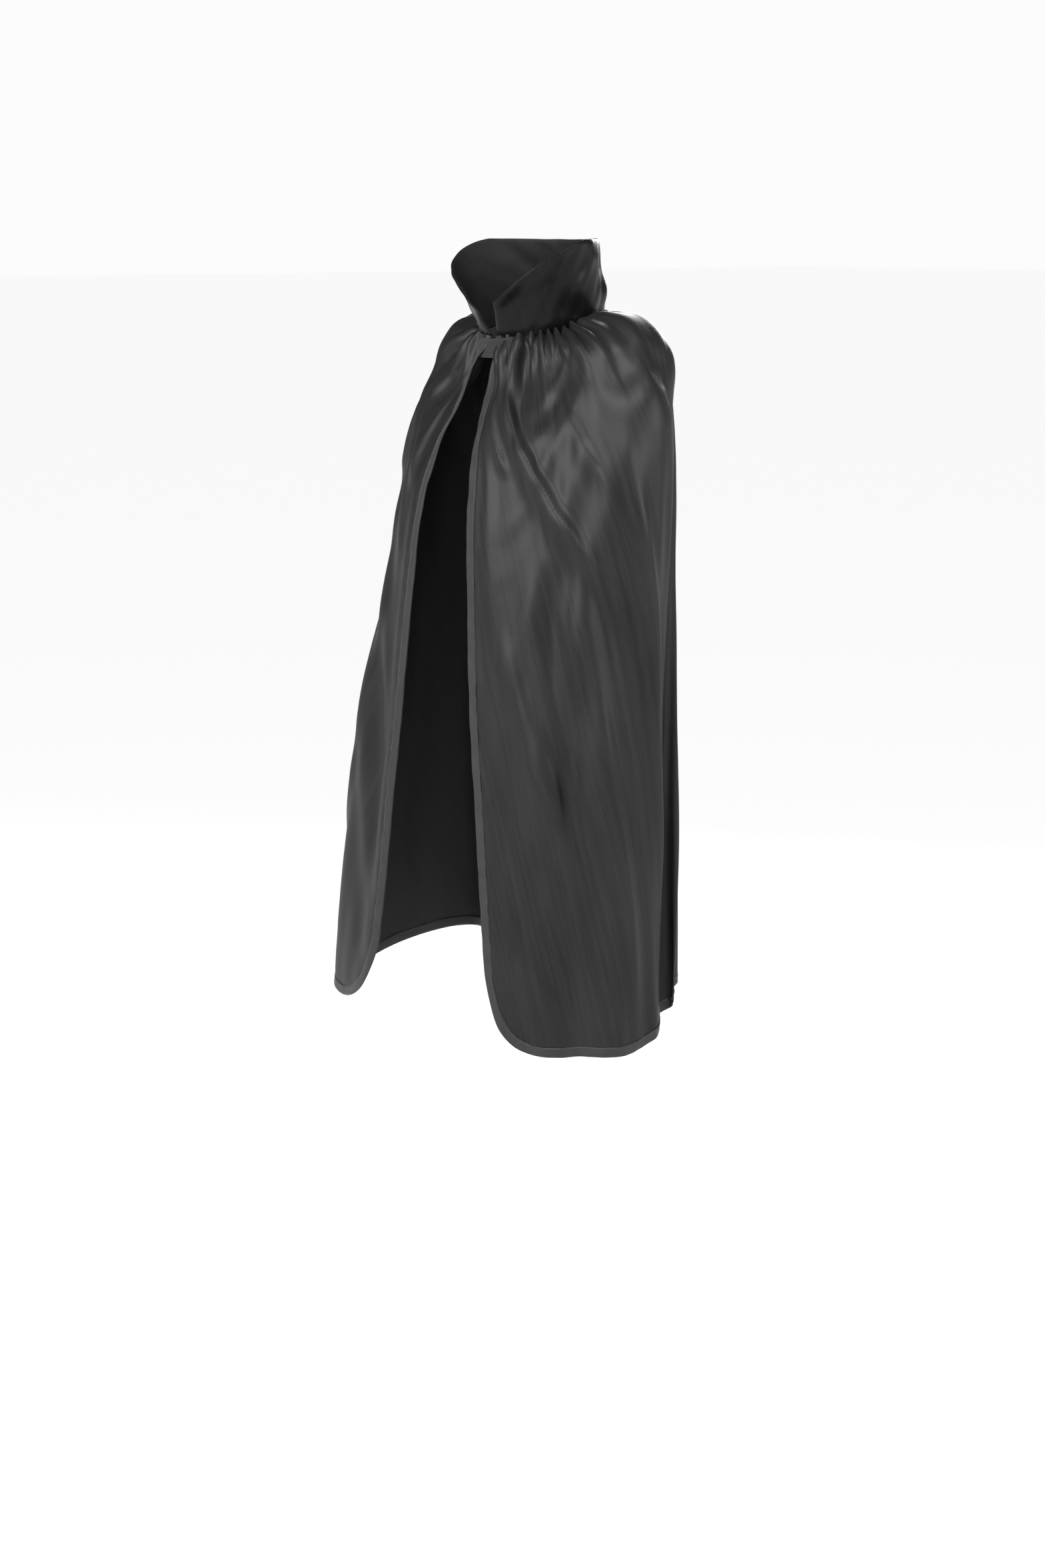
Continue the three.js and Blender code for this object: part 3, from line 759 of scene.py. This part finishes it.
def collar_middle():
    """The collar's middle surface, with the dents of satin on a soft stiffener."""
    u, v = np.meshgrid(np.linspace(-1, 1, 241), np.linspace(0, 1, 71))
    angle = u * (COLLAR_OPENING + (COLLAR_OPENING_TOP - COLLAR_OPENING) * v)
    up = v * collar_rim(np.abs(u) * COLLAR_OPENING)
    sine, cosine = np.sin(np.radians(angle)), np.cos(np.radians(angle))
    wide = NECK_WIDTH - COLLAR_IN + COLLAR_FLARE * up
    deep = NECK_DEPTH - COLLAR_IN + 0.5 * COLLAR_FLARE * up
    reach = ((sine / wide) ** 2 + (cosine / deep) ** 2) ** -0.5
    height = NECK_TILT * cosine + up + 0.0003
    points = np.stack([reach * sine, reach * cosine - COLLAR_LEAN * up, height], axis=-1)
    out = -normals_of(points)
    along_band = np.stack([angle * BAND_PER_DEGREE, up, np.zeros_like(up)], axis=-1)
    slanted = along_band @ np.array([[0.8, -0.6, 0], [0.6, 0.8, 0], [0, 0, 1]])
    dents = 0.0036 * rough(along_band, 0.036, 0.5)
    wrinkles = 0.0020 * rough(slanted * np.array([1, 0.35, 1]), 0.012, 1.5)
    ridge_at = 38 - 240 * (up - 0.03)
    ridge = 0.0042 * np.exp(-((angle - ridge_at) / 9) ** 2) * ease(0.0, 0.02, up)
    far_ridge = 0.003 * np.exp(-((angle + 48 + 260 * (up - 0.03)) / 10) ** 2) * ease(0.0, 0.02, up)
    curl = 0.0035 * ease(0.6, 1, v) * ease(0.3, 0.8, np.abs(u))
    held = ease(0, 0.012, up)
    height = (dents + wrinkles) * held + ridge + far_ridge + curl
    return points + out * height[..., None], np.stack([angle * BAND_PER_DEGREE, up], axis=-1)


def collar_layer(name, points, plan, low, high, material):
    """A closed layer between two heights from the collar's middle, thinner towards its turned edges."""
    out = -normals_of(points)
    count, across = points.shape[:2]
    i, j = np.meshgrid(np.arange(count), np.arange(across), indexing="ij")
    from_edge = np.minimum(np.minimum(count - 1 - i, i + 4) / 4.0, np.minimum(j, across - 1 - j) / 5.0)
    puff = 0.25 + 0.75 * np.sqrt(np.clip(1 - (1 - np.clip(from_edge, 0, 1)) ** 2, 0, 1))
    sheet_points = points + out * ((low + high) / 2 * puff)[..., None]
    return closed_sheet(name, sheet_points, plan, abs(high - low), [material])


def make_collar():
    shape, plan = collar_middle()
    near, far = COLLAR_CLOTH, 2 * COLLAR_CLOTH
    half = STIFFENER_THICKNESS / 2
    inset = slice(4, -4), slice(5, -5)
    whole = slice(None), slice(None)
    layers = (
        ("collar_outer_cloth", near, far, COLLAR_SATIN, whole, "collar_outer", "satin"),
        ("collar_lining_cloth", -near, -far, LINING, whole, "collar_lining", "satin_back"),
        ("collar_stiffener", -half, half, STIFFENER, inset, "collar_interfacing", "stiffener"),
    )
    for name, low, high, material, part, node, slot in layers:
        piece = collar_layer(name, shape[part], plan[part], low, high, material)
        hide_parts(node)
        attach(piece, "neck")


# ---------------------------------------------------------------- closure and label

TAB_DEGREES = (155, 197)    # sewn end on the wearer's left, free end on the right
TAB_DROP = (0.003, 0.022)
TAB_THICKNESS = 0.0015
PATCH_DEGREES = (180, 193)
PATCH_DROP = (0.006, 0.019)
PATCH = 0.001
TOUCH = 0.0003              # from one layer of the closure to the next
LOOP_OUT = TOUCH
HOOK_OUT = LOOP_OUT + PATCH + TOUCH
TAB_OUT = HOOK_OUT + PATCH + TOUCH
STITCHES_IN = 0.0022        # from the tab's edge to its stitches


def front_point(angle, drop, out):
    """A point in front of the neck, out from the plain hanging shape. Angles run on past 180."""
    turned = (angle + 180) % 360 - 180
    step = 0.0005
    degree = 0.3
    beside = envelope(turned + degree, drop) - envelope(turned - degree, drop)
    below = envelope(turned, drop + step) - envelope(turned, drop - step)
    normal = np.cross(beside, below)
    normal /= np.linalg.norm(normal, axis=-1, keepdims=True)
    return envelope(turned, drop) + normal * np.asarray(out)[..., None]


def rounded_pad(name, degrees, drops, out, thickness, round_ends, material, fuzz):
    """A soft flat pad on the neck's curve, with a rounded free end or rounded corners."""
    u, v = np.meshgrid(np.linspace(0, 1, 97), np.linspace(-1, 1, 37))
    length = math.radians(degrees[1] - degrees[0]) * NECK_DEPTH
    half = (drops[1] - drops[0]) / 2
    radius = half if round_ends else half * 0.25
    to_free = (1 - u) * length
    to_sewn = u * length
    curve = np.clip(1 - to_free / radius, 0, 1)
    narrow = 1 - radius / half * (1 - np.sqrt(1 - curve ** 2))
    if not round_ends:
        curve = np.clip(1 - to_sewn / radius, 0, 1)
        narrow = narrow - radius / half * (1 - np.sqrt(1 - curve ** 2))
    angle = degrees[0] + (degrees[1] - degrees[0]) * u
    drop = (drops[0] + drops[1]) / 2 + half * v * np.maximum(narrow, 0.002)
    from_end = to_free if round_ends else np.minimum(to_free, to_sewn)
    from_edge = np.minimum(from_end, half * (1 - np.abs(v)) * narrow)
    crown = 1 - ease(0.0, 0.0022, from_edge)
    middle = front_point(angle, drop, np.full(u.shape, out + thickness / 2))
    lumps = rough(np.stack([angle * 0.001, drop, np.zeros_like(drop)], -1), 0.0016, 0.6) * fuzz
    pad = closed_sheet(name, middle, np.stack([angle * 0.00108, drop], -1), thickness, [material])
    swell = points_of(pad)
    count = len(swell) // 2
    inner, outer = swell[:count], swell[count:]
    centre = (inner + outer) / 2
    keep = (1 - 0.75 * crown.reshape(-1, 1)) * (1 + lumps.reshape(-1, 1) / thickness)
    pad.data.vertices.foreach_set("co", np.concatenate([centre + (inner - centre) * keep,
                                                        centre + (outer - centre) * keep]).reshape(-1))
    return pad


def tab_stitching():
    """A box of stitches round the tab, rounded at its free end."""
    line = []
    low, high = TAB_DROP[0] + STITCHES_IN, TAB_DROP[1] - STITCHES_IN
    middle, half = (low + high) / 2, (high - low) / 2
    start, end = TAB_DEGREES[0] + 2.5, TAB_DEGREES[1] - 2.2
    bend = math.degrees(half / NECK_DEPTH)
    for t in np.linspace(0, 1, 30):
        line.append((start + (end - bend - start) * t, low))
    for t in np.linspace(0, math.pi, 24)[1:-1]:
        line.append((end - bend + bend * math.sin(t), middle - half * math.cos(t)))
    for t in np.linspace(1, 0, 30):
        line.append((start + (end - bend - start) * t, high))
    for t in np.linspace(0, 1, 12)[1:]:
        line.append((start, high + (low - high) * t))
    angle, drop = np.array(line).T
    place = front_point(angle, drop, np.full(angle.shape, TAB_OUT + TAB_THICKNESS + THREAD_LIFT))
    outward = place - front_point(angle, drop, np.full(angle.shape, TAB_OUT))
    outward /= np.linalg.norm(outward, axis=1, keepdims=True)
    return stitches("tab_stitches", place, np.gradient(place, axis=0), outward, **TAB_STITCH)


def make_closure():
    tab = rounded_pad("tab_cloth", TAB_DEGREES, TAB_DROP, TAB_OUT, TAB_THICKNESS, True, FUZZ, 0.00012)
    hooks = rounded_pad("tab_hooks", PATCH_DEGREES, PATCH_DROP, HOOK_OUT, PATCH, False, HOOKS, 0.0001)
    loops = rounded_pad("neck_loops", PATCH_DEGREES, PATCH_DROP, LOOP_OUT, PATCH, False, FUZZ, 0.00016)
    thread = tab_stitching()
    for piece, body, node in ((tab, "tab", "closure_tab"), (hooks, "tab", "hook_patch"),
                              (loops, "neck", "loop_patch")):
        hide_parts(node)
        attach(piece, body)
    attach(thread, "tab")


NECK_TAPE_HEIGHT = 0.0115
NECK_TAPE_DEGREES = 175.5
NECK_TAPE_IN = 0.0037       # inside the neck seam
NECK_TAPE_BELOW = 0.0005
NECK_TAPE_THICKNESS = 0.0006


def make_neck_tape():
    """The tape over the raw gathered edge inside the neck."""
    u, v = np.meshgrid(np.linspace(-1, 1, 181), np.linspace(0, 1, 9))
    angle = u * NECK_TAPE_DEGREES
    sine, cosine = np.sin(np.radians(angle)), np.cos(np.radians(angle))
    wide, deep = NECK_WIDTH - NECK_TAPE_IN, NECK_DEPTH - NECK_TAPE_IN
    wave = 0.0004 * rough(np.stack([angle * 0.001, v * 0.012, 0 * v], -1), 0.006, 0.8)
    height = NECK_TILT * cosine - NECK_TAPE_BELOW - NECK_TAPE_HEIGHT * v
    points = np.stack([(wide + wave) * sine, (deep + wave) * cosine, height], -1)
    plan = np.stack([angle * BAND_PER_DEGREE, v * NECK_TAPE_HEIGHT], -1)
    tape = closed_sheet("neck_tape_cloth", points, plan, NECK_TAPE_THICKNESS, [TAPE])
    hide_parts("neck_tape")
    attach(tape, "neck")


def make_label():
    """The blank label that hangs from the neck tape."""
    low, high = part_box("care_label")
    x, y = np.meshgrid(np.linspace(low[0], high[0], 33), np.linspace(high[2], low[2], 25))
    hang = (high[2] - y) / (high[2] - low[2])
    depth = (low[1] + high[1]) / 2 - 0.0022 * np.sin(hang * 2.4) * hang - 0.0008 * np.sin(x * 190) * hang
    points, plan = np.stack([x, depth, y], -1), np.stack([x, y], -1)
    label = closed_sheet("care_label_cloth", points, plan, LABEL_CLOTH, [LABEL])
    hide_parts("care_label")
    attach(label, "neck")


# ---------------------------------------------------------------- assembly


def make_cape():
    flat_x, flat_y = cut_pattern()
    cloth = finer(relax(settled(flat_x, flat_y), 3))
    flat = finer(np.stack([flat_x, flat_y], axis=-1))
    cloth = puckers(cloth, flat[..., 0], flat[..., 1])
    area = cut_area(flat)
    for side, word, front in ((-1, "right", "right_front"), (1, "left", "left_front")):
        half, grid = cape_half(cloth, flat, side, word + "_cape_cloth")
        route = edge_route(grid, side)
        tape, rings = edge_binding(word + "_edge_tape", half, route)
        thread = binding_stitches(word + "_edge_stitches", rings, route[2])
        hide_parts(front + "_panel", *(["cape_back"] if side > 0 else []))
        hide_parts(front + "_binding", *(["back_hem_binding"] if side > 0 else []))
        for piece, slot in ((half, "satin"), (tape, "edge_tape"), (thread, "edge_tape")):
            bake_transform(piece)


def cut_area(flat):
    """Area of the flat cut, from the cells of its grid."""
    across = flat[:-1, 1:] - flat[:-1, :-1]
    down = flat[1:, :-1] - flat[:-1, :-1]
    return float(np.abs(across[..., 0] * down[..., 1] - across[..., 1] * down[..., 0]).sum())


# ---------------------------------------------------------------- floor, light and view

FLOOR = -1.15               # the ground, under a child's neck
FLOOR_REACH = 60
FLOOR_LIGHT = 0.92          # brightness of the pale floor
ROOM_LIGHT = 0.12           # the pale room's own light on the cape
BACKDROP = 0.97             # and the room as it is seen behind
LIGHTS = (                  # direction from the front, height, distance, size, power
    (4, 0.5, 2.4, 1.6, 72),
    (118, 0.3, 2.4, 1.2, 32),
    (58, 1.9, 2.2, 1.6, 88),
    (215, 0.8, 2.4, 1.5, 75),
)
CAMERA_AZIMUTH = 50
CAMERA_PITCH = 10
CAMERA_DISTANCE = 3.2
CAMERA_LENS = 73.5
AIM = (-0.0129, -0.0153, -0.456)


def studio():
    """Plain pale floor and soft light from the front left, above and behind."""
    bm = bmesh.new()
    bmesh.ops.create_grid(bm, x_segments=2, y_segments=2, size=FLOOR_REACH)
    mesh = bpy.data.meshes.new("floor")
    bm.to_mesh(mesh)
    bm.free()
    pale = Finish("floor_paper", Base_Color=grey(0.2), Roughness=1.0, Specular_IOR_Level=0.0,
                  Emission_Color=grey(1.0), Emission_Strength=FLOOR_LIGHT)
    mesh.materials.append(pale.material)
    floor = bpy.data.objects.new("floor", mesh)
    floor.location = (0, 0, FLOOR)
    bpy.context.collection.objects.link(floor)
    bpy.context.scene.view_settings.view_transform = "Standard"
    world = bpy.data.worlds.new("studio")
    world.use_nodes = True
    backdrop = world.node_tree.nodes["Background"]
    backdrop.inputs["Color"].default_value = (1, 1, 1, 1)
    seen = world.node_tree.nodes.new("ShaderNodeLightPath")
    level = world.node_tree.nodes.new("ShaderNodeMapRange")
    level.inputs["To Min"].default_value = ROOM_LIGHT
    level.inputs["To Max"].default_value = BACKDROP
    world.node_tree.links.new(seen.outputs["Is Camera Ray"], level.inputs["Value"])
    world.node_tree.links.new(level.outputs["Result"], backdrop.inputs["Strength"])
    bpy.context.scene.world = world
    for azimuth, height, away, size, power in LIGHTS:
        lamp = bpy.data.lights.new("soft_light", "AREA")
        lamp.shape, lamp.size, lamp.energy = "DISK", size, power
        holder = bpy.data.objects.new("soft_light", lamp)
        turn = math.radians(azimuth)
        holder.location = (away * math.sin(turn), -away * math.cos(turn), height)
        aim = Vector(AIM) - holder.location
        holder.rotation_euler = aim.to_track_quat("-Z", "Y").to_euler()
        bpy.context.collection.objects.link(holder)


def camera():
    lens = bpy.data.cameras.new("view")
    lens.lens = CAMERA_LENS
    lens.sensor_width = 36
    holder = bpy.data.objects.new("view", lens)
    a, e = math.radians(CAMERA_AZIMUTH), math.radians(CAMERA_PITCH)
    back = Vector((math.sin(a) * math.cos(e), -math.cos(a) * math.cos(e), math.sin(e)))
    holder.location = Vector(AIM) + back * CAMERA_DISTANCE
    holder.rotation_euler = (-back).to_track_quat("-Z", "Y").to_euler()
    bpy.context.collection.objects.link(holder)
    bpy.context.scene.camera = holder


camera()
studio()
make_collar()
make_cape()
make_closure()
make_neck_tape()
make_label()

bpy.context.view_layer.update()
